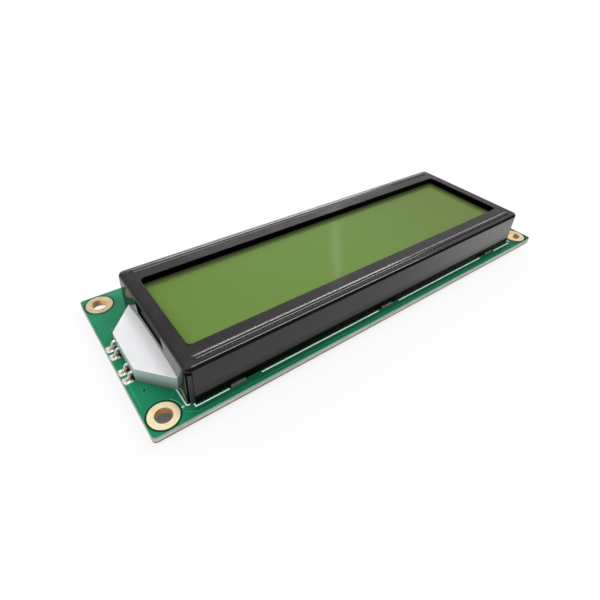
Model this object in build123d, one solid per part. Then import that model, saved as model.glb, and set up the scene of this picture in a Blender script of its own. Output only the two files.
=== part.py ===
# Character display module: a green circuit board that carries a liquid-crystal
# panel under a pressed black bezel, lit from its left end by two side lamps.
# Millimetres. X runs along the module, Y from the near edge to the far edge with
# the interface holes, and Z up from the surface that the module lies on.
# The origin is at the middle of the board, on that surface.
from build123d import *
import os
from math import sin, cos, radians

# Screen window
window_length = 99.0
window_width = 24.0
window_corner_radius = 1.0
window_depth = 1.7
window_edge_radius = 0.3

# Bezel
bezel_end_border = 3.3
bezel_side_border = 5.55
bezel_height = 9.9
sheet_thickness = 0.5
bend_radius = 0.9
bezel_corner_radius = 1.5
bead_width = 1.4
bead_height = 0.35
bead_side_inset = 2.0
bead_end_inset = 2.3
relief_length = 1.3
relief_width = 0.95
relief_top_inset = 1.4
side_slot_length = 13.2
side_slot_height = 2.7
side_slot_top_inset = 0.6

# Bezel tabs
tab_width = 3.6
tab_spacing = 42.2
tab_twist = 35.0
tab_twist_height = 1.1
tab_slot_clearance = 0.3

# Circuit board
board_thickness = 1.6
board_end_margin = 8.2
board_near_margin = 2.45
board_far_margin = 6.45
board_corner_radius = 0.8
underside_clearance = 2.1

# Mounting holes with their plated lands
mount_hole_diameter = 3.5
mount_hole_inset = 3.5
mount_land_width = 1.3
plating_thickness = 0.05

# Interface holes
interface_hole_count = 16
interface_pitch = 2.54
interface_hole_diameter = 1.0
interface_row_inset = 2.5
first_interface_hole_inset = 12.5

# Display panel
polariser_thickness = 0.2
front_glass_thickness = 1.1
rear_glass_thickness = 1.1
glass_clearance = 0.5
polariser_end_overlap = 1.3
polariser_side_overlap = 1.5
rear_polariser_inset = 1.6

# Elastomer contact strips
contact_strip_width = 2.2
contact_strip_clearance = 0.2

# Backlight tray with its tongue
tray_side_overlap = 0.75
tray_end_clearance = 0.3
tray_floor = 0.5
tray_wall = 0.6
tongue_tip_inset = 2.3
tongue_tip_width = 12.0
tongue_height = 3.5
tongue_wall = 0.5
tongue_cover = 0.45
tongue_opening_clearance = 0.15
lead_notch_clearance = 0.12

# Sheets inside the tray
reflector_thickness = 0.1
light_guide_thickness = 2.35
diffuser_thickness = 0.2
light_guide_clearance = 0.15

# Side lamps
lamp_spacing = 7.5
lamp_length = 1.7
lamp_width = 3.4
lamp_height = 2.1
lamp_clearance = 0.1
lens_radius = 1.2
lead_spacing = 2.54
lead_width = 0.5
lead_thickness = 0.3
lead_exit_height = 1.75
lead_bend_radius = 0.35
lead_toe_inset = 0.35

# Lamp pads and their solder
pad_width = 1.9
pad_edge_inset = 0.15
pad_tongue_gap = 0.4
solder_edge_gap = 0.15
solder_length = 1.15
solder_width = 1.2
solder_height = 0.55
solder_shoulder_length = 0.33

# Parts on the underside
blob_diameter = 17.0
blob_height = 1.6
blob_spacing = 44.0
blob_offset_y = -1.0
chip_length = 2.0
chip_width = 1.25
chip_thickness = 0.55
chip_pitch = 3.4
resistor_count = 6
chip_row_start = 5.5
chip_row_inset = 6.6
capacitor_thickness = 0.9
capacitor_count = 2
capacitor_gap = 5.0

# How close a place must be for an edge to be picked by it
near_enough = 0.01

# Sizes that follow from the values above
bezel_length = window_length + 2 * bezel_end_border
bezel_width = window_width + 2 * bezel_side_border
board_length = bezel_length + 2 * board_end_margin
board_width = bezel_width + board_near_margin + board_far_margin
screen_y = (board_near_margin - board_far_margin) / 2
board_bottom = underside_clearance
board_top = board_bottom + board_thickness
bezel_top = board_top + bezel_height
inner_length = bezel_length - 2 * sheet_thickness
inner_width = bezel_width - 2 * sheet_thickness
panel_top = bezel_top - window_depth
front_glass_top = panel_top - polariser_thickness
front_glass_bottom = front_glass_top - front_glass_thickness
rear_glass_bottom = front_glass_bottom - rear_glass_thickness
glass_length = inner_length - 2 * glass_clearance
glass_width = inner_width - 2 * glass_clearance
tray_width = window_width + 2 * tray_side_overlap
tray_length = inner_length - 2 * tray_end_clearance
wall_x = -bezel_length / 2
tray_end_x = -tray_length / 2
tongue_tip_x = -board_length / 2 + tongue_tip_inset
floor_top = board_top + tray_floor
guide_bottom = floor_top + reflector_thickness
guide_top = guide_bottom + light_guide_thickness
pad_top = board_top + plating_thickness
pad_length = tongue_tip_inset - pad_edge_inset - pad_tongue_gap


def plate(length, width, bottom, top, radius=0.0, x=0.0, y=0.0):
    """A flat rectangular piece between two heights, with rounded corners in plan."""
    outline = RectangleRounded(length, width, radius) if radius > 0 else Rectangle(length, width)
    return extrude(Plane.XY.offset(bottom) * Pos(x, y) * outline, top - bottom)


def prism(points, bottom, top):
    """A straight-sided piece whose plan is the closed outline through the points."""
    outline = make_face(Polyline(*points, close=True))
    return extrude(Plane.XY.offset(bottom) * outline, top - bottom)


def save(solids, name):
    """Write one node; a group of like pieces stays a group of separate solids."""
    pieces = solids if isinstance(solids, list) else [solids]
    found = [solid for piece in pieces for solid in piece.solids()]
    shape = found[0] if len(found) == 1 else Compound(children=found)
    shape.label = name
    export_step(shape, f"parts/{name}.step")


def mount_hole_places():
    """The centres of the four mounting holes."""
    x = board_length / 2 - mount_hole_inset
    y = board_width / 2 - mount_hole_inset
    return [(-x, -y), (x, -y), (-x, y), (x, y)]


def interface_hole_places():
    """The centres of the interface holes, in one row along the far edge."""
    x = -board_length / 2 + first_interface_hole_inset
    y = board_width / 2 - interface_row_inset
    return [(x + i * interface_pitch, y) for i in range(interface_hole_count)]


def tab_places():
    """The middle of each bezel tab in its wall: three near and three far."""
    reach = (bezel_width - sheet_thickness) / 2
    rows = [screen_y - reach, screen_y + reach]
    return [(x, y) for y in rows for x in (-tab_spacing, 0.0, tab_spacing)]


def lead_places():
    """The middle line in Y of each of the four lamp leads, near to far."""
    lamps = [screen_y - lamp_spacing / 2, screen_y + lamp_spacing / 2]
    return [lamp + side * lead_spacing / 2 for lamp in lamps for side in (-1, 1)]


def make_board():
    """Board with its mounting holes, interface holes and slots for the bezel tabs."""
    board = plate(board_length, board_width, board_bottom, board_top, board_corner_radius)
    drill = mount_hole_diameter + 2 * plating_thickness
    for x, y in mount_hole_places():
        board -= Pos(x, y, board_bottom) * extrude(Circle(drill / 2), board_thickness)
    for x, y in interface_hole_places():
        board -= Pos(x, y, board_bottom) * extrude(Circle(interface_hole_diameter / 2), board_thickness)
    slot_length = tab_width + 2 * tab_slot_clearance
    slot_width = sheet_thickness + 2 * tab_slot_clearance
    for x, y in tab_places():
        board -= plate(slot_length, slot_width, board_bottom, board_top, 0, x, y)
    return board


def plated_hole(x, y):
    """Plated barrel through the board with a land on both faces."""
    barrel = Circle(mount_hole_diameter / 2 + plating_thickness)
    land = Circle(mount_hole_diameter / 2 + mount_land_width)
    ring = extrude(Plane.XY.offset(board_bottom) * barrel, board_thickness)
    ring += extrude(Plane.XY.offset(board_top) * land, plating_thickness)
    ring += extrude(Plane.XY.offset(board_bottom) * land, -plating_thickness)
    bore_height = board_thickness + 2 * plating_thickness
    bore = Plane.XY.offset(board_bottom - plating_thickness) * Circle(mount_hole_diameter / 2)
    return Pos(x, y) * (ring - extrude(bore, bore_height))


def round_rod(length, radius, y, z):
    """A round rod along X, centred on X = 0."""
    return Pos(-length / 2, y, z) * Rot(0, 90, 0) * extrude(Circle(radius), length)


def bead_rod(length, radius, y, z):
    """A round rod along X with a ball at each end: the outer form of a pressed bead."""
    rod = round_rod(length, radius, y, z)
    for x in (-length / 2, length / 2):
        rod += Pos(x, y, z) * Rot(0, 90, 0) * Sphere(radius)
    return rod


def twisted_tab(x, y):
    """Tab that passes through the board and is twisted against its underside."""
    straight = plate(tab_width, sheet_thickness, board_bottom, board_top + sheet_thickness, 0, x, y)
    section = Rectangle(tab_width, sheet_thickness)
    turned = Rot(0, 0, tab_twist) * section
    twist_bottom = board_bottom - tab_twist_height
    twist = loft([Pos(x, y, board_bottom) * section, Pos(x, y, twist_bottom) * turned])
    end = extrude(Pos(x, y, twist_bottom) * turned, -(underside_clearance - tab_twist_height))
    return straight + twist + end


def make_bezel():
    """Pressed sheet bezel: deep box, window with a turned-down lip, two stiffening
    beads, open corners, a slot and a tongue opening in the left wall, and six tabs."""
    outer = plate(bezel_length, bezel_width, board_top, bezel_top, bezel_corner_radius, 0, screen_y)
    outer = fillet(outer.faces().sort_by(Axis.Z)[-1].edges(), bend_radius)
    inner_radius = bezel_corner_radius - sheet_thickness
    inner_top = bezel_top - sheet_thickness
    inner = plate(inner_length, inner_width, board_top, inner_top, inner_radius, 0, screen_y)
    inner_bend = bend_radius - sheet_thickness
    inner = chamfer(inner.faces().sort_by(Axis.Z)[-1].edges(), inner_bend)

    bead_radius = (bead_width**2 / 4 + bead_height**2) / (2 * bead_height)
    bead_z = bezel_top + bead_height - bead_radius
    bead_length = bezel_length - 2 * bead_end_inset - bead_width
    hollow_radius = bead_radius - sheet_thickness
    for side in (-1, 1):
        bead_y = screen_y + side * (bezel_width / 2 - bead_side_inset)
        outer += bead_rod(bead_length, bead_radius, bead_y, bead_z)
        inner += round_rod(bead_length, hollow_radius, bead_y, bead_z)

    lip_length = window_length + 2 * sheet_thickness
    lip_width = window_width + 2 * sheet_thickness
    lip_radius = window_corner_radius + sheet_thickness
    lip = plate(lip_length, lip_width, panel_top, bezel_top, lip_radius, 0, screen_y)
    window = plate(window_length, window_width, board_top, bezel_top, window_corner_radius, 0, screen_y)
    bezel = outer - inner
    bezel += lip
    bezel -= window

    rim = [edge for edge in bezel.edges() if on_window_rim(edge)]
    bezel = fillet(rim, window_edge_radius)

    for sx in (-1, 1):
        for sy in (-1, 1):
            x = sx * (bezel_length - relief_length) / 2
            y = screen_y + sy * (bezel_width - relief_width) / 2
            top = bezel_top - relief_top_inset
            bezel -= plate(relief_length, relief_width, board_top, top, 0, x, y)

    cut_depth = 2 * sheet_thickness
    cut_x = wall_x + sheet_thickness / 2
    opening = tray_width + 2 * tongue_opening_clearance
    opening_top = board_top + tongue_height + tongue_opening_clearance
    bezel -= plate(cut_depth, opening, board_top, opening_top, 0, cut_x, screen_y)
    slot_top = bezel_top - side_slot_top_inset
    slot_bottom = slot_top - side_slot_height
    bezel -= plate(cut_depth, side_slot_length, slot_bottom, slot_top, 0, cut_x, screen_y)

    for x, y in tab_places():
        bezel += twisted_tab(x, y)
    return bezel


def on_window_rim(edge):
    """Whether an edge lies on the top rim of the screen window."""
    box = edge.bounding_box()
    flat = box.size.Z < near_enough and abs(box.max.Z - bezel_top) < near_enough
    reach_x = max(abs(box.min.X), abs(box.max.X))
    reach_y = max(abs(box.min.Y - screen_y), abs(box.max.Y - screen_y))
    inside_x = reach_x <= window_length / 2 + near_enough
    inside_y = reach_y <= window_width / 2 + near_enough
    return flat and inside_x and inside_y


def make_tray():
    """White backlight tray: a frame that carries the panel, with a low covered
    tongue that leaves through the bezel and holds the two lamps."""
    root = tray_width / 2
    tip = tongue_tip_width / 2
    tray = plate(tray_length, tray_width, board_top, rear_glass_bottom, 0, 0, screen_y)
    tongue_outline = [
        (tray_end_x, screen_y - root),
        (wall_x, screen_y - root),
        (tongue_tip_x, screen_y - tip),
        (tongue_tip_x, screen_y + tip),
        (wall_x, screen_y + root),
        (tray_end_x, screen_y + root),
    ]
    tray += prism(tongue_outline, board_top, board_top + tongue_height)
    pocket_length = tray_length - 2 * tray_wall
    pocket_width = tray_width - 2 * tray_wall
    tray -= plate(pocket_length, pocket_width, floor_top, rear_glass_bottom, 0, 0, screen_y)
    cavity_top = board_top + tongue_height - tongue_cover
    tray -= prism(tongue_cavity(tray_end_x + tray_wall, 0.0), floor_top, cavity_top)
    notch = lead_width + 2 * lead_notch_clearance
    notch_height = lead_thickness + 2 * lead_notch_clearance
    for y in lead_places():
        bottom = board_top + lead_exit_height - notch_height / 2
        tray -= plate(4 * tongue_wall, notch, bottom, bottom + notch_height, 0, tongue_tip_x, y)
    return tray


def tongue_cavity(inner_x, clearance):
    """Plan of the hollow in the tongue, drawn in by a clearance, up to inner_x."""
    root = tray_width / 2 - tray_wall - clearance
    slope = (tray_width - tongue_tip_width) / 2 / (wall_x - tongue_tip_x)
    tip_x = tongue_tip_x + tongue_wall + clearance
    tip = root - slope * (wall_x - tip_x)
    return [
        (inner_x, screen_y - root),
        (wall_x, screen_y - root),
        (tip_x, screen_y - tip),
        (tip_x, screen_y + tip),
        (wall_x, screen_y + root),
        (inner_x, screen_y + root),
    ]


def lamp_front_x():
    """Where the flat front of the lamps ends and their round lens begins."""
    return tongue_tip_x + tongue_wall + lamp_clearance + lamp_length


def guide_outline():
    """Plan of the light guide: the full tray, and a neck that narrows to the lamps."""
    far_x = tray_length / 2 - tray_wall - light_guide_clearance
    cavity = tongue_cavity(far_x, light_guide_clearance)
    near_right, near_bend, near_tip, far_tip, far_bend, far_right = cavity
    cut_x = lamp_front_x() + lamp_clearance
    share = (cut_x - near_tip[0]) / (near_bend[0] - near_tip[0])
    near_cut = near_tip[1] + share * (near_bend[1] - near_tip[1])
    far_cut = far_tip[1] + share * (far_bend[1] - far_tip[1])
    return [near_right, near_bend, (cut_x, near_cut), (cut_x, far_cut), far_bend, far_right]


def guide_plate(bottom, top):
    """A plate on the guide's plan, with a round pocket for each lamp lens."""
    layer = prism(guide_outline(), bottom, top)
    for y in (screen_y - lamp_spacing / 2, screen_y + lamp_spacing / 2):
        pocket = Circle(lens_radius + lamp_clearance)
        layer -= Pos(lamp_front_x(), y, bottom) * extrude(pocket, top - bottom)
    return layer


def make_lamp(y):
    """Side lamp: a moulded block with a half-round lens towards the light guide."""
    back = tongue_tip_x + tongue_wall + lamp_clearance
    body = plate(lamp_length, lamp_width, floor_top, floor_top + lamp_height, 0, back + lamp_length / 2, y)
    lens = Pos(lamp_front_x(), y, floor_top) * extrude(Circle(lens_radius), lamp_height)
    return body + lens


def make_lead(y):
    """Flat lamp lead: out through the tongue wall, down, and along its pad."""
    start_x = tongue_tip_x + tongue_wall + lamp_clearance
    exit_z = board_top + lead_exit_height
    foot_z = pad_top + lead_thickness / 2
    toe_x = -board_length / 2 + lead_toe_inset
    knee_x = (tongue_tip_x + toe_x) / 2 + lead_bend_radius
    path = FilletPolyline(
        (start_x, exit_z),
        (knee_x, exit_z),
        (knee_x - lead_bend_radius / 2, foot_z),
        (toe_x, foot_z),
        radius=lead_bend_radius,
    )
    section = trace(path, lead_thickness)
    return extrude(Plane.XZ.offset(-y - lead_width / 2) * section, lead_width)


def make_pad(y):
    """Bare plated pad under the foot of a lead."""
    x = -board_length / 2 + pad_edge_inset + pad_length / 2
    return plate(pad_length, pad_width, board_top, pad_top, 0, x, y)


def make_solder(y, lead):
    """Solder that wets the pad and the foot of a lead."""
    x = -board_length / 2 + pad_edge_inset + solder_edge_gap + solder_length / 2
    mound = plate(solder_length, solder_width, pad_top, pad_top + solder_height, 0, x, y)
    mound = chamfer(mound.faces().sort_by(Axis.Z)[-1].edges(), solder_shoulder_length)
    return mound - lead


def make_blob(x):
    """Epoxy drop over a chip that is bonded to the underside of the board."""
    dome_radius = (blob_diameter**2 / 4 + blob_height**2) / (2 * blob_height)
    ball_z = board_bottom - blob_height + dome_radius
    ball = Pos(x, blob_offset_y, ball_z) * Rot(90, 0, 0) * Sphere(dome_radius)
    return split(ball, bisect_by=Plane.XY.offset(board_bottom), keep=Keep.BOTTOM)


def make_chips(first_x, count, thickness):
    """A row of like chip components soldered to the underside of the board."""
    y = board_width / 2 - chip_row_inset
    row = [first_x + i * chip_pitch for i in range(count)]
    return [plate(chip_width, chip_length, board_bottom - thickness, board_bottom, 0, x, y) for x in row]


def main():
    os.makedirs("parts", exist_ok=True)
    save(make_board(), "circuit_board")
    save([plated_hole(x, y) for x, y in mount_hole_places()], "mounting_hole_plating")
    save(make_bezel(), "bezel")

    polariser_length = window_length + 2 * polariser_end_overlap
    polariser_width = window_width + 2 * polariser_side_overlap
    front_film = plate(polariser_length, polariser_width, front_glass_top, panel_top, 0, 0, screen_y)
    save(front_film, "front_polariser")
    save(plate(glass_length, glass_width, front_glass_bottom, front_glass_top, 0, 0, screen_y), "front_glass")
    save(plate(glass_length, tray_width, rear_glass_bottom, front_glass_bottom, 0, 0, screen_y), "rear_glass")
    film_length = tray_length - 2 * rear_polariser_inset
    film_width = tray_width - 2 * rear_polariser_inset
    film_bottom = rear_glass_bottom - polariser_thickness
    save(plate(film_length, film_width, film_bottom, rear_glass_bottom, 0, 0, screen_y), "rear_polariser")

    strip_offset = tray_width / 2 + contact_strip_clearance + contact_strip_width / 2
    for side, name in ((-1, "near_contact_strip"), (1, "far_contact_strip")):
        y = screen_y + side * strip_offset
        save(plate(glass_length, contact_strip_width, board_top, front_glass_bottom, 0, 0, y), name)

    save(make_tray(), "backlight_tray")
    save(guide_plate(floor_top, guide_bottom), "reflector_sheet")
    save(guide_plate(guide_bottom, guide_top), "light_guide")
    diffuser_length = tray_length - 2 * (tray_wall + light_guide_clearance)
    diffuser_width = tray_width - 2 * (tray_wall + light_guide_clearance)
    diffuser_top = guide_top + diffuser_thickness
    save(plate(diffuser_length, diffuser_width, guide_top, diffuser_top, 0, 0, screen_y), "diffuser_sheet")

    save(make_lamp(screen_y - lamp_spacing / 2), "near_lamp")
    save(make_lamp(screen_y + lamp_spacing / 2), "far_lamp")
    leads = [make_lead(y) for y in lead_places()]
    save(leads[:2], "near_lamp_leads")
    save(leads[2:], "far_lamp_leads")
    save([make_pad(y) for y in lead_places()], "lamp_pads")
    save([make_solder(y, lead) for y, lead in zip(lead_places(), leads)], "lamp_solder_joints")

    save(make_blob(-blob_spacing / 2), "controller_blob")
    save(make_blob(blob_spacing / 2), "driver_blob")
    save(make_chips(chip_row_start, resistor_count, chip_thickness), "chip_resistors")
    first_capacitor = chip_row_start + (resistor_count - 1) * chip_pitch + capacitor_gap
    save(make_chips(first_capacitor, capacitor_count, capacitor_thickness), "chip_capacitors")


main()
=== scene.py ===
"""The looks of a character display module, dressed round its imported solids."""
from math import asin, atan2, copysign, cos, pi, radians, sin, sqrt

import bmesh
import bpy
from bpy.props import FloatProperty, FloatVectorProperty, IntProperty, PointerProperty
from mathutils import Matrix, Vector


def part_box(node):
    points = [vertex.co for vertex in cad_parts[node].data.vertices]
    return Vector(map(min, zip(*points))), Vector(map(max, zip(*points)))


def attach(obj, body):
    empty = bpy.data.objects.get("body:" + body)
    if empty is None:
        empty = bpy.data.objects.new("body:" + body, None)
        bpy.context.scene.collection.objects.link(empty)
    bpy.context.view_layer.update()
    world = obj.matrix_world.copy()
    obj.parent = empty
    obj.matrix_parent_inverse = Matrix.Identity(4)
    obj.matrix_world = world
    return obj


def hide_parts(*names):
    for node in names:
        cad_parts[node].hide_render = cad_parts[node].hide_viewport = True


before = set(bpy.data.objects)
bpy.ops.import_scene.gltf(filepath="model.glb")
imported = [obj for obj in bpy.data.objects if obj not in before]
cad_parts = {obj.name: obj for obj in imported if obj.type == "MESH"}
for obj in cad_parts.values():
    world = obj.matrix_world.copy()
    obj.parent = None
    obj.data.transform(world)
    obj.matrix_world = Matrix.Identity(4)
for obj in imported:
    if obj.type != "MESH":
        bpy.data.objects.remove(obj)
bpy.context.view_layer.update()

bl_info = {
    "name": "Character Display Module",
    "version": (1, 0, 0),
    "blender": (4, 5, 0),
    "location": "View3D > Sidebar > Display Module",
    "description": "Builds the finishes and fine pieces of a display module round its solids",
    "category": "Object",
}

MM = 0.001
BODY = "root"

# Places that the solids give
BOARD_LOW, BOARD_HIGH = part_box("circuit_board")
BEZEL_LOW, BEZEL_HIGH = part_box("bezel")
FILM_LOW, FILM_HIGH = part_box("front_polariser")
TRAY_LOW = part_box("backlight_tray")[0]
PAD_LOW, PAD_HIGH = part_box("lamp_pads")
LAND_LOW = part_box("mounting_hole_plating")[0]
SCREEN_Y = (FILM_LOW.y + FILM_HIGH.y) / 2
BOARD_TOP = BOARD_HIGH.z
BOARD_BOTTOM = BOARD_LOW.z
BEZEL_HALF = (BEZEL_HIGH.x - BEZEL_LOW.x) / 2

# Mounting holes: how far in from the board's edges they stand, and the radius of their lands
MOUNT_INSET = 3.5 * MM
LAND_RADIUS = MOUNT_INSET - (LAND_LOW.x - BOARD_LOW.x)

# Where the bezel's tabs pass through the board, along each long side
TAB_PLACES = (-42.2 * MM, 0.0, 42.2 * MM)

# Bends of a lamp lead, in millimetres from its toe and from the board's top
LEAD_BENDS = ((2.5, 1.75), (1.62, 1.78), (1.3, 1.72), (1.08, 1.4), (0.92, 0.9), (0.72, 0.5))

# Solder, and flux widened as painted shade, on a lamp pad: reach along the module, reach across it, and
# height
SOLDER_SIZE = (0.92 * MM, 0.84 * MM, 0.72 * MM)
FLUX_AND_SHADE_SIZE = (0.62 * MM, 0.85 * MM, 0.26 * MM)

# Lamps: name, place, length and width in metres, brightness, and whether matt surfaces see it
STRIP_LAMPS = (
    ("far_strip", (0.9, 1.4, 0.66), (1.05, 0.20), 11.0, True),
    ("near_strip", (0.61, -0.385, 1.0), (0.94, 0.16), 14.0, True),
    ("far_gleam", (0.62, 1.4, 0.62), (1.6, 0.34), 8.0, False),
    ("right_gleam", (1.85, 1.4, 0.62), (0.85, 0.34), 4.0, False),
    ("near_gleam", (0.68, -0.385, 1.0), (0.8, 0.2), 5.0, False),
)

# Where the photographer's camera stood, and which way it looked
CAMERA_PLACE = (-0.07209, -0.07250, 0.07698)
CAMERA_RIGHT = (0.807628, -0.588310, 0.040364)
CAMERA_UP = (0.310446, 0.482376, 0.819107)
CAMERA_BACK = (-0.501359, -0.649003, 0.572219)


def length(name, value, about):
    """A length property in metres."""
    return FloatProperty(name=name, description=about, default=value, min=0.0, unit="LENGTH", precision=5)


def colour(name, value, about):
    """A colour property."""
    return FloatVectorProperty(
        name=name, description=about, default=value, min=0.0, max=1.0, size=3, subtype="COLOR"
    )


def number(name, value, about):
    """A plain number that is never negative."""
    return FloatProperty(name=name, description=about, default=value, min=0.0)


class BoardLook(bpy.types.PropertyGroup):
    """Sizes and colours of the circuit board's finish."""

    mask_colour: colour("Mask", (0.013, 0.21, 0.098), "Green coating over bare laminate")
    copper_tint: colour("Mask over copper", (0.022, 0.27, 0.13), "Green coating where copper lies under it")
    # Painted shade: the coating beside the bezel's walls takes this darker green.
    margin_shade_colour: colour("Mask beside the bezel", (0.006, 0.095, 0.042), "Coating in the narrow margins")
    edge_colour: colour("Cut edge", (0.58, 0.55, 0.49), "Glass-epoxy laminate where the board was cut")
    rim_colour: colour("Edge under the mask", (0.27, 0.42, 0.33), "Laminate that the coating tints")
    silk_colour: colour("Print", (0.92, 1.0, 0.97), "White printed lines")
    gold_colour: colour("Gold", (1.0, 0.83, 0.52), "Plating on lands and pads")
    line_width: length("Print width", 0.27 * MM, "Width of the printed lines")
    track_width: length("Track width", 0.28 * MM, "Width of the tracks")
    coat: length("Coat", 0.015 * MM, "How far prints and tracks stand above the board")
    land_radius: length("Land radius", 0.85 * MM, "Outer radius of an interface land")
    hole_radius: length("Hole radius", 0.5 * MM, "Radius of an interface hole")
    pitch: length("Pitch", 2.54 * MM, "Distance between interface holes")
    row_start: length("Row start", 12.5 * MM, "First interface hole from the left end")
    row_inset: length("Row inset", 2.5 * MM, "Interface holes from the far edge")
    via_radius: length("Via radius", 0.2 * MM, "Radius of the hole in a via")
    via_ring_radius: length("Via ring radius", 0.42 * MM, "Outer radius of a via's ring")
    mask_gap: length("Mask gap", 0.4 * MM, "Width of the dark ring round a mounting land")
    # Painted shade: upright gold faces, as inside the holes, take this deeper orange.
    barrel_shade_colour: colour("Barrel", (1.0, 0.60, 0.24), "Plating inside the holes")


class BezelLook(bpy.types.PropertyGroup):
    """Sizes and colour of the pressed bezel."""

    paint_colour: colour("Paint", (0.0085, 0.0062, 0.0055), "Black baked paint")
    # Painted reflection: the curled edges take a bluish grey that stands for the sky they mirror.
    curl_reflection_colour: colour("Curled edges", (0.036, 0.052, 0.072), "Duller paint in the open corners")
    worn_colour: colour("Worn feet", (0.15, 0.13, 0.115), "Scuffed paint round the feet of the tabs")
    dust_colour: colour("Dust", (0.16, 0.15, 0.15), "Specks of dust on the paint")
    width: length("Width", 35.1 * MM, "Width across the near and far walls")
    height: length("Height", 9.9 * MM, "Height of the flat top above the board")
    sheet: length("Sheet", 0.5 * MM, "Thickness of the sheet")
    bend: length("Bend", 0.9 * MM, "Outer radius of the bends")
    corner: length("Corner", 1.5 * MM, "Corner radius in plan")
    window_length: length("Window length", 99.0 * MM, "Length of the window")
    window_width: length("Window width", 24.0 * MM, "Width of the window")
    window_corner: length("Window corner", 1.0 * MM, "Corner radius of the window")
    window_rim: length("Window rim", 0.12 * MM, "Rounding of the window's rim")
    bead_inset: length("Bead inset", 2.0 * MM, "Middle of a bead from the outer wall")
    bead_end: length("Bead end", 3.0 * MM, "Middle of a bead's end from the end wall")
    bead_rise: length("Bead rise", 0.35 * MM, "Height of a bead")
    bead_crown: length("Bead crown", 0.875 * MM, "Radius of a bead's crown")
    bead_foot: length("Bead foot", 0.16 * MM, "Rounding at a bead's foot")
    open_length: length("Open corner length", 1.3 * MM, "How far a corner is open along the module")
    open_width: length("Open corner width", 0.8 * MM, "How far a corner is open across the module")
    open_inset: length("Open corner inset", 1.0 * MM, "How far below the flat top a corner opens")
    slot_length: length("Slot length", 13.2 * MM, "Length of the left wall's slot")
    slot_height: length("Slot height", 3.9 * MM, "Height of the left wall's slot")
    slot_inset: length("Slot inset", 0.6 * MM, "How far below the flat top the slot begins")
    mouth_length: length("Mouth length", 25.8 * MM, "Length of the opening that the tongue leaves by")
    mouth_height: length("Mouth height", 3.65 * MM, "Height of that opening above the board")
    tab_width: length("Tab width", 3.6 * MM, "Width of a tab")
    tab_twist_height: length("Tab twist height", 1.1 * MM, "Height over which a tab twists below the board")
    tab_twist: number("Tab twist", 35.0, "Degrees that a tab is twisted")
    flap_setback: length("Flap setback", 0.42 * MM, "How far the curled edges lie behind the corners")
    flap_thickness: length("Flap thickness", 0.35 * MM, "Thickness of the curled edges")
    foot_flare: length("Foot flare", 0.43 * MM, "How far the near wall's foot leans outward in its shading")
    flare_height: length("Flare height", 3.6 * MM, "Height over which the near wall's foot leans")
    wall_bow: length("Wall bow", 0.35 * MM, "How far the left wall bows inward above the tongue")
    bend_steps: IntProperty(name="Bend steps", description="Faces round a bend", default=12, min=4)
    corner_steps: IntProperty(name="Corner steps", description="Faces round a corner", default=14, min=4)


class ScreenLook(bpy.types.PropertyGroup):
    """Colours of the display panel."""

    lit_colour: colour("Screen", (0.119, 0.209, 0.038), "Yellow-green of the blank screen")
    deep_colour: colour("Screen shade", (0.040, 0.046, 0.028), "Shade under the window's lip")
    shade_width: length("Shade width", 2.7 * MM, "How far the lip shades the panel")
    # Painted shade: the screen is painted darker towards its right end.
    right_end_shade_colour: colour("Screen, far end", (0.101, 0.160, 0.028), "Blank screen at its right end")
    rubber_colour: colour("Contact strip", (0.028, 0.036, 0.048), "Striped rubber contact strips")


class BacklightLook(bpy.types.PropertyGroup):
    """Sizes and colours of the backlight and its lamps."""

    tray_colour: colour("Tray", (0.715, 0.72, 0.735), "White moulded plastic")
    # Painted shade: this greenish grey is partly the milky plastic and partly shade and green light from
    # the board.
    milky_side_shade_colour: colour("Tray side", (0.41, 0.51, 0.49), "Milky side of the tongue")
    tray_edge: length("Tray edge", 0.12 * MM, "Rounding of the tray's edges")
    lead_colour: colour("Lead", (0.92, 0.90, 0.85), "Tinned lamp leads")
    # Painted shade: the flux is painted nearly black, standing partly for the shade under the leads.
    flux_and_shade_colour: colour("Flux", (0.016, 0.010, 0.006), "Brown flux left beside the joints")
    solder_colour: colour("Solder", (1.0, 0.98, 0.95), "Bright solder")
    solder_inset: length("Solder inset", 0.75 * MM, "Middle of a joint from its pad's outer end")
    flux_and_shade_inset: length("Flux inset", 1.72 * MM, "Middle of the flux from the same end")
    lead_width: length("Lead width", 0.66 * MM, "Width of a lamp lead")
    lead_thickness: length("Lead thickness", 0.3 * MM, "Thickness of a lamp lead")


class UndersideLook(bpy.types.PropertyGroup):
    """Sizes and colours of the pieces under the board."""

    epoxy_colour: colour("Epoxy", (0.012, 0.012, 0.013), "Black epoxy drops")
    resistor_colour: colour("Resistor", (0.018, 0.018, 0.02), "Glazed resistor bodies")
    capacitor_colour: colour("Capacitor", (0.42, 0.27, 0.15), "Ceramic capacitor bodies")
    end_cap: length("End cap", 0.4 * MM, "Length of a chip's tinned end")


class StageLook(bpy.types.PropertyGroup):
    """The floor, the light and the camera."""

    floor_colour: colour("Floor", (0.86, 0.86, 0.86), "Pale plain floor")
    floor_glow: number("Floor white", 0.86, "Share of the floor's white that shadows leave")
    overhead: number("Overhead light", 1.1, "Strength of the sky overhead")
    around: number("Light around", 0.45, "Strength of the sky at the horizon")
    mirrored_white: number("Mirrored white", 0.88, "White that gloss shows")
    post_white: number("Post", 1.5, "White that gloss shows of a tall pale post")
    lens: number("Lens", 27.436, "Focal length in millimetres")
    shift_x: FloatProperty(name="Shift X", description="Sideways shift of the lens", default=0.01987)
    shift_y: FloatProperty(name="Shift Y", description="Upward shift of the lens", default=-0.07347)


# Finishes


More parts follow.
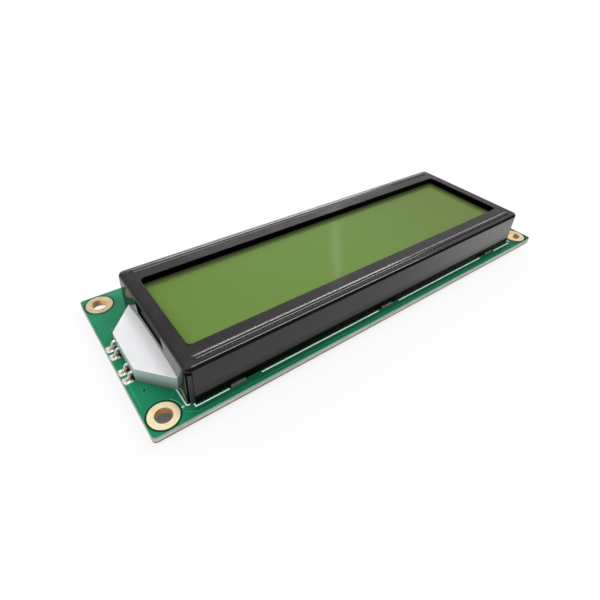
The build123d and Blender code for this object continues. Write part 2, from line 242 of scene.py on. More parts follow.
class NodeKit:
    """Short forms for building a node tree."""

    def __init__(self, tree):
        self.nodes = tree.nodes
        self.links = tree.links

    def place(self, stretch=(1.0, 1.0, 1.0)):
        """Object coordinates in metres, stretched along each axis."""
        source = self.nodes.new("ShaderNodeTexCoord").outputs["Object"]
        mapping = self.nodes.new("ShaderNodeMapping")
        mapping.inputs["Scale"].default_value = stretch
        self.links.new(source, mapping.inputs["Vector"])
        return mapping.outputs["Vector"]

    def noise(self, grain, detail=2.0, stretch=(1.0, 1.0, 1.0)):
        """Noise from 0 to 1 whose grain is a length in metres."""
        texture = self.nodes.new("ShaderNodeTexNoise")
        texture.inputs["Scale"].default_value = 1.0 / grain
        texture.inputs["Detail"].default_value = detail
        self.links.new(self.place(stretch), texture.inputs["Vector"])
        return texture.outputs["Fac"]

    def axis(self, name):
        """One of the object coordinates X, Y or Z, in metres."""
        split = self.nodes.new("ShaderNodeSeparateXYZ")
        self.links.new(self.place(), split.inputs["Vector"])
        return split.outputs[name]

    def math(self, operation, first, second=0.0):
        """A sum on two values or sockets."""
        node = self.nodes.new("ShaderNodeMath")
        node.operation = operation
        for socket, value in zip(node.inputs, (first, second)):
            if isinstance(value, (int, float)):
                socket.default_value = value
            else:
                self.links.new(value, socket)
        return node.outputs["Value"]

    def times(self, first, *others):
        """The product of values or sockets."""
        for other in others:
            first = self.math("MULTIPLY", first, other)
        return first

    def most(self, first, *others):
        """The largest of values or sockets."""
        for other in others:
            first = self.math("MAXIMUM", first, other)
        return first

    def off(self, value, middle=0.0):
        """How far a value lies from a middle, to either side."""
        return self.math("ABSOLUTE", self.math("SUBTRACT", value, middle))

    def span(self, value, low, high, start=0.0, end=1.0, smooth=True):
        """A value brought from low..high to start..end."""
        node = self.nodes.new("ShaderNodeMapRange")
        node.interpolation_type = "SMOOTHSTEP" if smooth else "LINEAR"
        for key, number in (("From Min", low), ("From Max", high), ("To Min", start), ("To Max", end)):
            node.inputs[key].default_value = number
        self.links.new(value, node.inputs["Value"])
        return node.outputs["Result"]

    def blend(self, share, first, second):
        """Two colours or colour sockets mixed by a share."""
        node = self.nodes.new("ShaderNodeMix")
        node.data_type = "RGBA"
        self.links.new(share, node.inputs["Factor"])
        for key, value in (("A", first), ("B", second)):
            socket = next(s for s in node.inputs if s.name == key and s.type == "RGBA")
            if isinstance(value, bpy.types.NodeSocket):
                self.links.new(value, socket)
            else:
                socket.default_value = (*value, 1.0)
        return next(s for s in node.outputs if s.type == "RGBA")

    def level(self, low=0.3, high=0.7):
        """1 on level faces and 0 on upright ones."""
        split = self.nodes.new("ShaderNodeSeparateXYZ")
        self.links.new(self.nodes.new("ShaderNodeNewGeometry").outputs["Normal"], split.inputs["Vector"])
        return self.span(self.off(split.outputs["Z"]), low, high)

    def mottled(self, base, dark, light, grain, detail=3.0):
        """A colour that drifts between a darker and a lighter shade of itself."""
        share = self.span(self.noise(grain, detail), 0.3, 0.7)
        return self.blend(share, shade(base, dark), shade(base, light))

    def specks(self, spacing, share):
        """1 on sparse small dots and 0 between them."""
        texture = self.nodes.new("ShaderNodeTexVoronoi")
        texture.inputs["Scale"].default_value = 1.0 / spacing
        self.links.new(self.place(), texture.inputs["Vector"])
        return self.span(texture.outputs["Distance"], share, 0.6 * share)

    def seen_ray(self, *kinds):
        """1 for the named kinds of ray and 0 for the rest."""
        path = self.nodes.new("ShaderNodeLightPath")
        return self.most(*(path.outputs[kind] for kind in kinds))

    def mix(self, share, first, second):
        """Two shaders mixed by a share."""
        node = self.nodes.new("ShaderNodeMixShader")
        for socket, source in zip(node.inputs, (share, first, second)):
            self.links.new(source, socket)
        return node.outputs[0]

    def glow(self, kind, strength):
        """A white emission or background shader of a given strength."""
        node = self.nodes.new(kind)
        node.inputs["Color"].default_value = (1.0, 1.0, 1.0, 1.0)
        if isinstance(strength, (int, float)):
            node.inputs["Strength"].default_value = strength
        else:
            self.links.new(strength, node.inputs["Strength"])
        return node.outputs[0]


class Finish(NodeKit):
    """A node material round one surface shader."""

    def __init__(self, name, base, roughness, metallic=0.0, specular=0.5):
        self.material = bpy.data.materials.new(name)
        self.material.use_nodes = True
        super().__init__(self.material.node_tree)
        self.shader = self.nodes["Principled BSDF"]
        self.shader.inputs["Base Color"].default_value = (*base, 1.0)
        self.shader.inputs["Roughness"].default_value = roughness
        self.shader.inputs["Metallic"].default_value = metallic
        self.shader.inputs["Specular IOR Level"].default_value = specular

    def paint(self, socket):
        """Takes the base colour from a colour socket."""
        self.links.new(socket, self.shader.inputs["Base Color"])

    def rough(self, socket):
        """Takes the roughness from a value socket."""
        self.links.new(socket, self.shader.inputs["Roughness"])

    def metal(self, socket):
        """Takes the metal share from a value socket."""
        self.links.new(socket, self.shader.inputs["Metallic"])

    def beside_bezel(self):
        """1 in the board's near margin and 0 past the bezel's near foot."""
        return self.span(self.axis("Y"), BEZEL_LOW.y + 2.0 * MM, BEZEL_LOW.y + 1.0 * MM)

    def bump(self, height, depth, strength=1.0):
        """Raises the surface by a height socket times a depth in metres."""
        node = self.nodes.new("ShaderNodeBump")
        node.inputs["Distance"].default_value = depth
        node.inputs["Strength"].default_value = strength
        self.links.new(height, node.inputs["Height"])
        self.links.new(node.outputs["Normal"], self.shader.inputs["Normal"])


def shade(base, factor):
    """A colour made darker or lighter."""
    return tuple(min(1.0, part * factor) for part in base)


def solder_mask_finish(look):
    """Green coating with a soft unevenness and painted shade beside the bezel, and the layered laminate on
    cut edges, with painted shade at their foot.
    """
    finish = Finish("solder_mask", look.mask_colour, 0.35, specular=0.06)
    top = finish.mottled(look.mask_colour, 0.93, 1.07, 6 * MM)
    inner = finish.span(finish.axis("Y"), BOARD_LOW.y + 0.1 * MM, BOARD_LOW.y + 0.6 * MM)
    under = finish.span(finish.off(finish.axis("X")), BEZEL_HIGH.x + 2.0 * MM, BEZEL_HIGH.x - 2.0 * MM)
    # Painted shade: the near margin and the right end beside the bezel are painted darker.
    margin = finish.times(inner, finish.beside_bezel(), under)
    right = finish.span(finish.axis("X"), BEZEL_HIGH.x - 1.0 * MM, BEZEL_HIGH.x + 1.0 * MM)
    top = finish.blend(finish.times(finish.most(margin, right), 0.95), top, look.margin_shade_colour)
    weave = finish.span(finish.noise(0.35 * MM, 2.0, (0.12, 0.12, 2.6)), 0.3, 0.7)
    side = finish.blend(weave, shade(look.edge_colour, 0.72), shade(look.edge_colour, 1.16))
    high = finish.span(finish.axis("Z"), BOARD_BOTTOM + 0.8 * MM, BOARD_TOP - 0.1 * MM)
    side = finish.blend(high, side, look.rim_colour)
    # Painted shade: the lowest part of the cut edge is painted dark, as in the shadow under the board.
    low = finish.span(finish.axis("Z"), BOARD_BOTTOM + 0.2 * MM, BOARD_BOTTOM + 0.5 * MM)
    side = finish.blend(low, shade(look.edge_colour, 0.25), side)
    level = finish.level(0.3, 0.6)
    finish.paint(finish.blend(level, side, top))
    finish.rough(finish.span(level, 0.0, 1.0, 0.75, 0.27))
    finish.bump(finish.noise(0.9 * MM, 3.0), 0.012 * MM)
    return finish.material


def covered_copper_finish(look):
    """Green coating where a track or a copper field lies under it, with painted shade beside the bezel's
    near wall.
    """
    finish = Finish("covered_copper", look.copper_tint, 0.3, specular=0.06)
    field = finish.mottled(look.copper_tint, 0.92, 1.08, 3 * MM)
    # Painted shade: tracks in the near margin along the bezel are painted darker.
    under = finish.span(finish.axis("X"), BEZEL_LOW.x - 2.0 * MM, BEZEL_LOW.x + 2.0 * MM)
    margin = finish.times(finish.beside_bezel(), under)
    finish.paint(finish.blend(margin, field, shade(look.copper_tint, 0.72)))
    finish.bump(finish.noise(0.6 * MM, 2.0), 0.01 * MM)
    return finish.material


def gold_finish(look):
    """Thin gold plating: brushed, a little cloudy, with painted shade that darkens the far and right holes
    and deepens upright faces to orange.
    """
    finish = Finish("gold_plating", look.gold_colour, 0.33, metallic=0.65)
    brushed = finish.noise(0.12 * MM, 3.0, (1.0, 0.25, 1.0))
    cloudy = finish.span(finish.noise(1.4 * MM, 3.0), 0.35, 0.7)
    face = finish.blend(cloudy, shade(look.gold_colour, 0.92), shade(look.gold_colour, 1.04))
    # Painted shade: the gold is painted darker towards the far and the right holes.
    towards_right = finish.span(finish.axis("X"), 20 * MM, 50 * MM, 0.0, 0.35)
    towards_far = finish.span(finish.axis("Y"), 5 * MM, 15 * MM)
    shaded_holes = finish.most(towards_right, towards_far)
    face = finish.blend(shaded_holes, face, shade(look.gold_colour, 0.68))
    finish.paint(finish.blend(finish.level(), look.barrel_shade_colour, face))
    finish.rough(finish.span(cloudy, 0.0, 1.0, 0.15, 0.2))
    finish.bump(brushed, 0.001 * MM)
    return finish.material


def print_and_glint_finish(look):
    """White print, a little thin and uneven, also used for a painted highlight."""
    finish = Finish("white_print_and_glints", look.silk_colour, 0.6)
    thin = finish.span(finish.noise(0.25 * MM, 3.0), 0.35, 0.65)
    finish.paint(finish.blend(thin, shade(look.silk_colour, 0.8), look.silk_colour))
    finish.bump(finish.noise(0.15 * MM, 2.0), 0.006 * MM)
    return finish.material


def laminate_and_via_shade_finish(look):
    """Darker green where no copper lies under the coating, also used as painted shade in the via holes."""
    dark = shade(look.mask_colour, 0.2)
    finish = Finish("bare_laminate_and_via_shade", dark, 0.35, specular=0.06)
    finish.paint(finish.mottled(dark, 0.85, 1.15, 1.2 * MM))
    return finish.material


def bezel_paint_finish(look):
    """Black baked paint: glossy, faintly uneven, dusty, scuffed at the tabs, with painted shade in the
    window and corners and a painted reflection on the curled edges.
    """
    finish = Finish("bezel_paint", look.paint_colour, 0.1)
    along = finish.off(finish.axis("X"))
    across = finish.off(finish.axis("Y"), SCREEN_Y)
    height = finish.axis("Z")
    top = BOARD_TOP + look.height
    cloudy = finish.span(finish.noise(5 * MM, 4.0), 0.35, 0.7)
    paint = finish.blend(cloudy, look.paint_colour, shade(look.paint_colour, 1.25))
    paint = finish.blend(finish.specks(5.5 * MM, 0.026), paint, look.dust_colour)
    worn = worn_feet(finish)
    paint = finish.blend(worn, paint, look.worn_colour)
    corner = corner_hollows(finish, look, along, across)
    open_part = finish.span(height, top - 2.5 * MM, top - 2.2 * MM)
    # Painted reflection: the curled edges low in the open corners are tinted bluish grey.
    curled = finish.times(corner, finish.math("SUBTRACT", 1.0, open_part))
    paint = finish.blend(curled, paint, look.curl_reflection_colour)
    below = finish.math("LESS_THAN", height, top - look.open_inset)
    near_wall = finish.math("LESS_THAN", finish.axis("Y"), SCREEN_Y - look.width / 2 + 0.2 * MM)
    # Painted shade: the near wall's foot loses its reflection of the board.
    near_foot_shade = finish.span(height, BOARD_TOP + 2.7 * MM, BOARD_TOP + 1.7 * MM, 0.0, 0.85)
    unworn = finish.math("SUBTRACT", 1.0, finish.most(worn, curled))
    # Painted shade: the window's lip, the corner hollows, the cut edges, the near wall's foot and the strip
    # behind the far bead are made dark and unreflecting.
    dull = finish.most(
        in_window(finish, look, along, across),
        finish.times(corner, open_part, below),
        finish.times(cut_edges(finish, look, along, across), below),
        finish.times(near_wall, near_foot_shade, unworn),
        behind_far_bead(finish, look, height),
    )
    finish.metal(dull)
    finish.paint(finish.blend(dull, paint, shade(look.paint_colour, 0.4)))
    gloss = finish.span(cloudy, 0.0, 1.0, 0.11, 0.14)
    finish.rough(finish.most(gloss, finish.times(dull, 0.4), finish.times(curled, 0.5)))
    flare_top = BOARD_TOP + look.flare_height
    flare = finish.span(height, BOARD_TOP, flare_top, look.foot_flare, 0.0, smooth=False)
    uneven = finish.times(finish.noise(1.6 * MM, 2.0), 0.0016 * MM)
    finish.bump(finish.math("ADD", uneven, finish.times(near_wall, flare)), 1.0)
    return finish.material


def worn_feet(finish):
    """1 on the bezel's scuffed paint at the foot of each tab."""
    beside = None
    for x in TAB_PLACES:
        reach = finish.off(finish.axis("X"), x)
        beside = reach if beside is None else finish.math("MINIMUM", beside, reach)
    foot = finish.span(finish.axis("Z"), BOARD_TOP + 0.9 * MM, BOARD_TOP + 0.5 * MM)
    patches = finish.span(finish.noise(0.5 * MM, 3.0), 0.2, 0.5)
    return finish.times(finish.span(beside, 2.0 * MM, 1.6 * MM), foot, patches)


def in_window(finish, look, along, across):
    """1 inside the rounded rim of the bezel's window."""
    rim = look.window_rim + 0.02 * MM
    within_x = finish.math("LESS_THAN", along, look.window_length / 2 + rim)
    within_y = finish.math("LESS_THAN", across, look.window_width / 2 + rim)
    return finish.times(within_x, within_y)


def cut_edges(finish, look, along, across):
    """1 on the sheet's cut edges round the bezel's open corners."""
    cut_x = finish.math("GREATER_THAN", along, BEZEL_HALF - look.sheet - 0.05 * MM)
    cut_y = finish.math("GREATER_THAN", across, look.width / 2 - look.open_width - 0.04 * MM)
    return finish.times(cut_x, cut_y)


def behind_far_bead(finish, look, height):
    """Rises from 0 behind the bezel's far bead, on the top and the bend."""
    far_wall = SCREEN_Y + look.width / 2
    top = BOARD_TOP + look.height
    behind = finish.span(finish.axis("Y"), far_wall - 2.1 * MM, far_wall - 1.6 * MM, 0.0, 0.75)
    return finish.times(behind, finish.span(height, top - 0.9 * MM, top - 0.3 * MM))


def corner_hollows(finish, look, along, across):
    """1 inside the bezel's open corners, behind the outer faces of its walls."""
    behind = look.open_length - 0.01 * MM
    past_x = finish.math("GREATER_THAN", along, BEZEL_HALF - behind)
    past_y = finish.math("GREATER_THAN", across, look.width / 2 - behind)
    clear_x = finish.math("LESS_THAN", along, BEZEL_HALF - 0.8 * look.flap_setback)
    clear_y = finish.math("LESS_THAN", across, look.width / 2 - 0.8 * look.flap_setback)
    return finish.times(past_x, past_y, clear_x, clear_y)


def front_film_finish(look, bezel):
    """Smooth film over the blank screen, with painted shade under the lip of the window and towards its
    right end.
    """
    finish = Finish("front_film", look.lit_colour, 0.07, specular=0.2)
    # Painted shade: the colour darkens from the middle to the right end.
    along = finish.span(finish.axis("X"), -5.0 * MM, bezel.window_length / 2)
    screen = finish.blend(along, look.lit_colour, look.right_end_shade_colour)
    cloudy = finish.span(finish.noise(40 * MM, 1.0), 0.3, 0.7)
    screen = finish.blend(finish.times(cloudy, 0.3), screen, shade(look.right_end_shade_colour, 1.15))
    from_end = finish.math("SUBTRACT", bezel.window_length / 2, finish.axis("X"))
    from_side = finish.math("SUBTRACT", SCREEN_Y + bezel.window_width / 2, finish.axis("Y"))
    inward = finish.math("MINIMUM", from_end, from_side)
    finish.paint(finish.blend(finish.span(inward, 0.0, look.shade_width), look.deep_colour, screen))
    return finish.material


def panel_glass_finish():
    """Greenish float glass, ground at its cut edges, which are painted nearly black as painted shade inside
    the bezel.
    """
    base = (0.50, 0.62, 0.54)
    finish = Finish("panel_glass", base, 0.08)
    level = finish.level()
    # Painted shade: the upright cut edges are painted nearly black.
    finish.paint(finish.blend(level, finish.mottled(base, 0.05, 0.12, 0.3 * MM), base))
    finish.rough(finish.span(level, 0.0, 1.0, 0.5, 0.06))
    return finish.material


def rear_film_finish():
    """Yellow-green reflecting film."""
    base = (0.30, 0.42, 0.09)
    finish = Finish("rear_film", base, 0.3)
    finish.paint(finish.mottled(base, 0.94, 1.06, 4 * MM))
    return finish.material


def contact_rubber_finish(look):
    """Silicone rubber with fine dark conducting stripes across it."""
    finish = Finish("contact_rubber", look.rubber_colour, 0.42)
    wave = finish.math("SINE", finish.times(finish.axis("X"), 2 * pi / (0.36 * MM)))
    stripe = finish.span(wave, -0.3, 0.3)
    finish.paint(finish.blend(stripe, shade(look.rubber_colour, 0.4), shade(look.rubber_colour, 1.5)))
    finish.bump(finish.noise(0.3 * MM, 2.0), 0.01 * MM)
    return finish.material


def tray_finish(look):
    """White moulded plastic whose low side walls look milky, with painted shade on the sides and a painted
    highlight on the top near the bezel.
    """
    finish = Finish("tray_plastic", look.tray_colour, 0.42, specular=0.4)
    top = finish.mottled(look.tray_colour, 0.97, 1.02, 5 * MM)
    # Painted highlight: the top is painted lighter towards the bezel.
    root = finish.span(finish.axis("X"), TRAY_LOW.x, TRAY_LOW.x + 0.8 * (BEZEL_LOW.x - TRAY_LOW.x))
    top = finish.blend(root, top, shade(look.tray_colour, 1.31))
    # Painted shade: the sides are painted darker towards the board.
    drop = finish.span(finish.axis("Z"), BOARD_TOP, BOARD_TOP + 3.2 * MM)
    side = finish.blend(drop, shade(look.milky_side_shade_colour, 0.5), shade(look.milky_side_shade_colour, 1.1))
    outside = finish.blend(finish.level(0.25, 0.75), side, top)
    # Painted shade: the sides inside the bezel are painted nearly black.
    past_wall = finish.span(finish.axis("X"), BEZEL_LOW.x + 0.4 * MM, BEZEL_LOW.x + 0.7 * MM)
    before_glass = finish.span(finish.axis("X"), BEZEL_LOW.x + 1.6 * MM, BEZEL_LOW.x + 1.3 * MM)
    inside_bezel_shade = finish.times(past_wall, before_glass)
    finish.paint(finish.blend(inside_bezel_shade, outside, shade(look.milky_side_shade_colour, 0.2)))
    finish.rough(finish.span(finish.noise(0.5 * MM, 3.0), 0.3, 0.7, 0.36, 0.5))
    finish.bump(finish.noise(0.22 * MM, 3.0), 0.006 * MM)
    return finish.material


def white_film_finish():
    """White film with fine fibres."""
    base = (0.84, 0.84, 0.83)
    finish = Finish("white_film", base, 0.6)
    fibres = finish.span(finish.noise(0.5 * MM, 4.0, (0.3, 1.0, 1.0)), 0.3, 0.7)
    finish.paint(finish.blend(fibres, shade(base, 0.95), shade(base, 1.03)))
    finish.bump(fibres, 0.01 * MM)
    return finish.material


def clear_acrylic_finish():
    """Milky clear acrylic with rows of printed dots under it."""
    base = (0.70, 0.78, 0.70)
    finish = Finish("clear_acrylic", base, 0.1)
    pitch = 1.2 * MM
    column = finish.math("SINE", finish.times(finish.axis("X"), 2 * pi / pitch))
    row = finish.math("SINE", finish.times(finish.axis("Y"), 2 * pi / pitch))
    dots = finish.span(finish.times(column, row), 0.3, 0.5)
    finish.paint(finish.blend(dots, base, (0.86, 0.88, 0.85)))
    return finish.material


def lamp_epoxy_finish():
    """Pale yellowish epoxy, a little cloudy."""
    base = (0.78, 0.80, 0.52)
    finish = Finish("lamp_epoxy", base, 0.12)
    finish.paint(finish.mottled(base, 0.85, 1.1, 0.8 * MM, 2.0))
    return finish.material


def tinned_finish(name, base, roughness, metallic):
    """Tin or solder: bright metal with a wavy skin and dull spots."""
    finish = Finish(name, base, roughness, metallic)
    cloudy = finish.span(finish.noise(0.5 * MM, 3.0), 0.35, 0.7)
    finish.paint(finish.blend(cloudy, shade(base, 0.72), base))
    finish.rough(finish.span(cloudy, 0.0, 1.0, roughness * 1.5, roughness * 0.7))
    finish.bump(finish.noise(0.35 * MM, 2.0), 0.03 * MM)
    return finish.material


def flux_and_shade_finish(look):
    """Brown glassy flux, painted nearly black as painted shade under the leads."""
    finish = Finish("flux", look.flux_and_shade_colour, 0.2)
    finish.paint(finish.mottled(look.flux_and_shade_colour, 0.6, 1.8, 0.4 * MM))
    finish.bump(finish.noise(0.4 * MM, 2.0), 0.03 * MM)
    return finish.material


def epoxy_drop_finish(look):
    """Semi-matt black epoxy with a slightly rough skin."""
    finish = Finish("blob_epoxy", look.epoxy_colour, 0.45)
    cloudy = finish.span(finish.noise(2.2 * MM, 4.0), 0.3, 0.7)
    finish.paint(finish.blend(cloudy, look.epoxy_colour, shade(look.epoxy_colour, 1.7)))
    finish.rough(finish.span(cloudy, 0.0, 1.0, 0.36, 0.55))
    finish.bump(finish.noise(0.5 * MM, 3.0), 0.02 * MM)
    return finish.material


def chip_finish(name, base, look, chip):
    """Ceramic chip body with tinned ends, marked off along each chip's length."""
    finish = Finish(name, base, 0.4)
    low, high = chip
    middle, half = (low.y + high.y) / 2, (high.y - low.y) / 2
    along = finish.off(finish.axis("Y"), middle)
    tinned = finish.span(along, half - look.end_cap - 0.03 * MM, half - look.end_cap + 0.03 * MM)
    body = finish.mottled(base, 0.85, 1.15, 0.25 * MM)
    finish.paint(finish.blend(tinned, body, (0.62, 0.61, 0.58)))
    finish.metal(tinned)
    return finish.material


# Shapes that the pieces share


def add_object(name, bm, material, crease=None, replaces=()):
    """Makes a shown piece from a bmesh; edges sharper than crease stay sharp."""
    bmesh.ops.recalc_face_normals(bm, faces=bm.faces)
    mesh = bpy.data.meshes.new(name)
    bm.to_mesh(mesh)
    bm.free()
    return add_piece(name, mesh, material, crease, replaces)


def add_piece(name, mesh, material, crease=None, replaces=()):
    """Makes a shown piece from a mesh, smooth but for its creases."""
    piece = bpy.data.objects.new(name, mesh)
    bpy.context.scene.collection.objects.link(piece)
    mesh.materials.clear()
    mesh.materials.append(material)
    if crease is not None:
        mesh.shade_smooth()
        mesh.set_sharp_from_angle(angle=crease)
        even = piece.modifiers.new("even_normals", "WEIGHTED_NORMAL")
        even.keep_sharp = True
    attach(piece, BODY)
    if replaces:
        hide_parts(*replaces)
    return piece


def dress(node, material):
    """Gives a solid's own mesh its finish."""
    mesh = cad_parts[node].data
    mesh.materials.clear()
    mesh.materials.append(material)


def add_skin(bm, outlines, close_loop=False, cap=False):
    """A skin over outlines of equally many points, from the first to the last."""
    rings = [[bm.verts.new(point) for point in outline] for outline in outlines]
    pairs = list(zip(rings, rings[1:]))
    if close_loop:
        pairs.append((rings[-1], rings[0]))
    for first, second in pairs:
        count = len(first)
        for i in range(count):
            j = (i + 1) % count
            bm.faces.new((first[i], first[j], second[j], second[i]))
    if cap:
        bm.faces.new(rings[0])
        bm.faces.new(reversed(rings[-1]))


def on_circle(centre, radius, turn):
    """A point on a circle in plan, at a turn in radians."""
    return (centre[0] + radius * cos(turn), centre[1] + radius * sin(turn))


def rounded_rectangle(half_x, half_y, radius, z, steps, middle_y=0.0):
    """Points round a rectangle with rounded corners, counter-clockwise from above."""
    points = []
    corners = ((1, 1, 0), (-1, 1, 90), (-1, -1, 180), (1, -1, 270))
    for sx, sy, start in corners:
        for i in range(steps + 1):
            turn = radians(start + 90 * i / steps)
            x = sx * (half_x - radius) + radius * cos(turn)
            y = sy * (half_y - radius) + radius * sin(turn)
            points.append((x, middle_y + y, z))
    return points


def add_ribbon(bm, points, width, bottom, top):
    """A flat strip of even width along a line in plan, with mitred corners."""
    left, right = [], []
    for i, point in enumerate(points):
        before = Vector(points[max(i - 1, 0)])
        after = Vector(points[min(i + 1, len(points) - 1)])
        here = Vector(point)
        into = (here - before).normalized() if i > 0 else (after - here).normalized()
        out = (after - here).normalized() if i < len(points) - 1 else into
        along = (into + out).normalized()
        side = Vector((-along.y, along.x))
        sharpest = 0.4
        reach = width / 2 / max(sharpest, along.dot(into))
        left.append(here + side * reach)
        right.append(here - side * reach)
    outlines = [
        ((b.x, b.y, bottom), (b.x, b.y, top), (a.x, a.y, top), (a.x, a.y, bottom))
        for a, b in zip(left, right)
    ]
    add_skin(bm, outlines, cap=True)


def add_washer(bm, centre, inner, outer, bottom, top, steps=40):
    """A flat ring, or a tube if it is tall."""
    turns = [2 * pi * i / steps for i in range(steps)]
    outlines = [
        [(*on_circle(centre, radius, turn), z) for turn in turns]
        for radius, z in ((inner, bottom), (inner, top), (outer, top), (outer, bottom))
    ]
    add_skin(bm, outlines, close_loop=True)


def add_washers(bm, centre, inner, outer, rise, steps):
    """A flat ring on each face of the board."""
    add_washer(bm, centre, inner, outer, BOARD_TOP, BOARD_TOP + rise, steps)
    add_washer(bm, centre, inner, outer, BOARD_BOTTOM - rise, BOARD_BOTTOM, steps)


def add_arc(bm, centre, radius, start, end, width, bottom, top, steps=24):
    """A flat strip along an arc in plan."""
    turns = [radians(start + (end - start) * i / steps) for i in range(steps + 1)]
    add_ribbon(bm, [on_circle(centre, radius, turn) for turn in turns], width, bottom, top)


def add_mound(bm, centre, size, base_z, square=0.75, hollow=0.55, flow=1.6, steps=28, layers=9):
    """A mound with hollow flanks, as solder wets a pad; size is its two reaches and its height."""
    reach_x, reach_y, height = size
    outlines = []
    for layer in range(layers + 1):
        share = layer / layers
        spread = max(1 - share**hollow, 0.04)
        rise = height * (1 - (1 - share)**flow)
        outline = []
        for i in range(steps):
            turn = 2 * pi * i / steps
            x = copysign(abs(cos(turn)) ** square, cos(turn))
            y = copysign(abs(sin(turn)) ** square, sin(turn))
            place = (centre[0] + reach_x * spread * x, centre[1] + reach_y * spread * y)
            outline.append((*place, base_z + rise))
        outlines.append(outline)
    add_skin(bm, outlines, cap=True)


def softened(node, name, width, material, segments=3):
    """A solid's shape with its sharp edges rounded, shown in place of the solid."""
    bm = bmesh.new()
    bm.from_mesh(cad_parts[node].data)
    bmesh.ops.remove_doubles(bm, verts=bm.verts, dist=1e-6)
    bmesh.ops.dissolve_limit(bm, angle_limit=radians(0.5), verts=bm.verts, edges=bm.edges)
    sharp = [e for e in bm.edges if len(e.link_faces) == 2 and e.calc_face_angle() > radians(30)]
    bmesh.ops.bevel(
        bm, geom=sharp, offset=width, segments=segments, profile=0.5, affect="EDGES", clamp_overlap=True
    )
    return add_object(name, bm, material, radians(50), (node,))


def cut_boxes(name, mesh, boxes):
    """The mesh with boxes cut out of it; each box is a low and a high corner."""
    body = bpy.data.objects.new(name + "_whole", mesh)
    bm = bmesh.new()
    for low, high in boxes:
        size = Vector(high) - Vector(low)
        place = Matrix.Translation((Vector(high) + Vector(low)) / 2) @ Matrix.Diagonal((*size, 1.0))
        bmesh.ops.create_cube(bm, size=1.0, matrix=place)
    cutter_mesh = bpy.data.meshes.new(name + "_cutter")
    bm.to_mesh(cutter_mesh)
    bm.free()
    cutter = bpy.data.objects.new(name + "_cutter", cutter_mesh)
    for item in (body, cutter):
        bpy.context.scene.collection.objects.link(item)
    change = body.modifiers.new("cut", "BOOLEAN")
    change.operation = "DIFFERENCE"
    change.solver = "EXACT"
    change.object = cutter
    result = bpy.data.meshes.new_from_object(body.evaluated_get(bpy.context.evaluated_depsgraph_get()))
    bpy.data.objects.remove(body)
    bpy.data.objects.remove(cutter)
    return result


# Steps, one for each piece or group of pieces


class DISPLAY_OT_board(bpy.types.Operator):
    """Coats the circuit board and adds its prints, tracks, vias and interface lands."""

    bl_idname = "display.board"
    bl_label = "Circuit board"

    def execute(self, context):
        look = context.scene.display_board
        dress("circuit_board", solder_mask_finish(look))
        gold = gold_finish(look)
        dress("mounting_hole_plating", gold)
        self.add_print(look)
        self.add_covered_copper(look)
        self.add_hole_surrounds(look)
        self.add_interface_lands(look, gold)
        return {"FINISHED"}

    def add_print(self, look):
        """The printed outline round the bezel's foot, open at the tabs, a dot, and a thin arc that is a
        painted highlight.
        """
        bottom, top = BOARD_TOP, BOARD_TOP + look.coat
        bm = bmesh.new()
        for points in near_print_lines() + far_print_lines():
            add_ribbon(bm, points, look.line_width, bottom, top)
        add_washer(bm, on_board(7.25, 3.25), 0.02 * MM, 0.27 * MM, bottom, top, 16)
        # Painted highlight: a thin white arc on the inner edge of the copper arc stands for the light that
        # edge catches.
        add_arc(bm, mounting_holes()[0], 3.68 * MM, 8, 48, 0.09 * MM, bottom, top)
        add_object("board_print_and_glints", bm, print_and_glint_finish(look))

    def add_covered_copper(self, look):
        """Tracks and a copper arc that show through the coating, on both faces."""
        finish = covered_copper_finish(look)
        bottom, top = BOARD_TOP, BOARD_TOP + look.coat
        bm = bmesh.new()
        for points in top_tracks():
            add_ribbon(bm, points, look.track_width, bottom, top)
        add_arc(bm, mounting_holes()[0], 3.75 * MM, -20, 110, 0.16 * MM, bottom, top)
        add_object("top_tracks", bm, finish)
        bm = bmesh.new()
        for points in underside_tracks():
            add_ribbon(bm, points, look.track_width, BOARD_BOTTOM - look.coat, BOARD_BOTTOM)
        add_object("underside_tracks", bm, finish)

    def add_hole_surrounds(self, look):
        """The dark gap round each mounting land, and the vias with their rings and a dark disc of painted
        shade in each hole.
        """
        bm = bmesh.new()
        for centre in mounting_holes():
            add_washers(bm, centre, LAND_RADIUS, LAND_RADIUS + look.mask_gap, 0.4 * look.coat, 64)
        # Painted shade: a dark disc on each face fills each via hole.
        for place in via_places():
            add_washers(bm, place, 0.01 * MM, look.via_radius, 1.4 * look.coat, 16)
        add_object("mask_gaps_and_via_shade", bm, laminate_and_via_shade_finish(look))
        bm = bmesh.new()
        for place in via_places():
            add_washers(bm, place, look.via_radius - 0.01 * MM, look.via_ring_radius, look.coat, 20)
        add_object("via_rings", bm, covered_copper_finish(look))

    def add_interface_lands(self, look, gold):
        """Gold lands and barrels of the sixteen interface holes."""
        bm = bmesh.new()
        wall = 0.03 * MM
        bore = look.hole_radius - wall
        for centre in interface_holes(look):
            add_washers(bm, centre, bore, look.land_radius, 2 * wall, 28)
            add_washer(bm, centre, bore, look.hole_radius, BOARD_BOTTOM, BOARD_TOP, 28)
        add_object("interface_lands", bm, gold, radians(40))


def on_board(x, y):
    """A place given in millimetres from the board's near-left corner."""
    return (BOARD_LOW.x + x * MM, BOARD_LOW.y + y * MM)


def board_places(*places):
    """Several such places, for a line or a row of holes."""
    return [on_board(x, y) for x, y in places]


def near_print_lines():
    """Printed lines along the left and near feet of the bezel."""
    return [
        board_places((7.95, 8.4), (7.95, 3.25), (8.6, 3.0)),
        board_places((9.3, 2.75), (9.35, 2.0), (16.6, 2.0)),
        board_places((24.2, 2.0), (57.9, 2.0)),
        board_places((65.0, 2.0), (98.9, 2.0)),
        board_places((105.6, 2.0), (113.2, 2.0)),
    ]


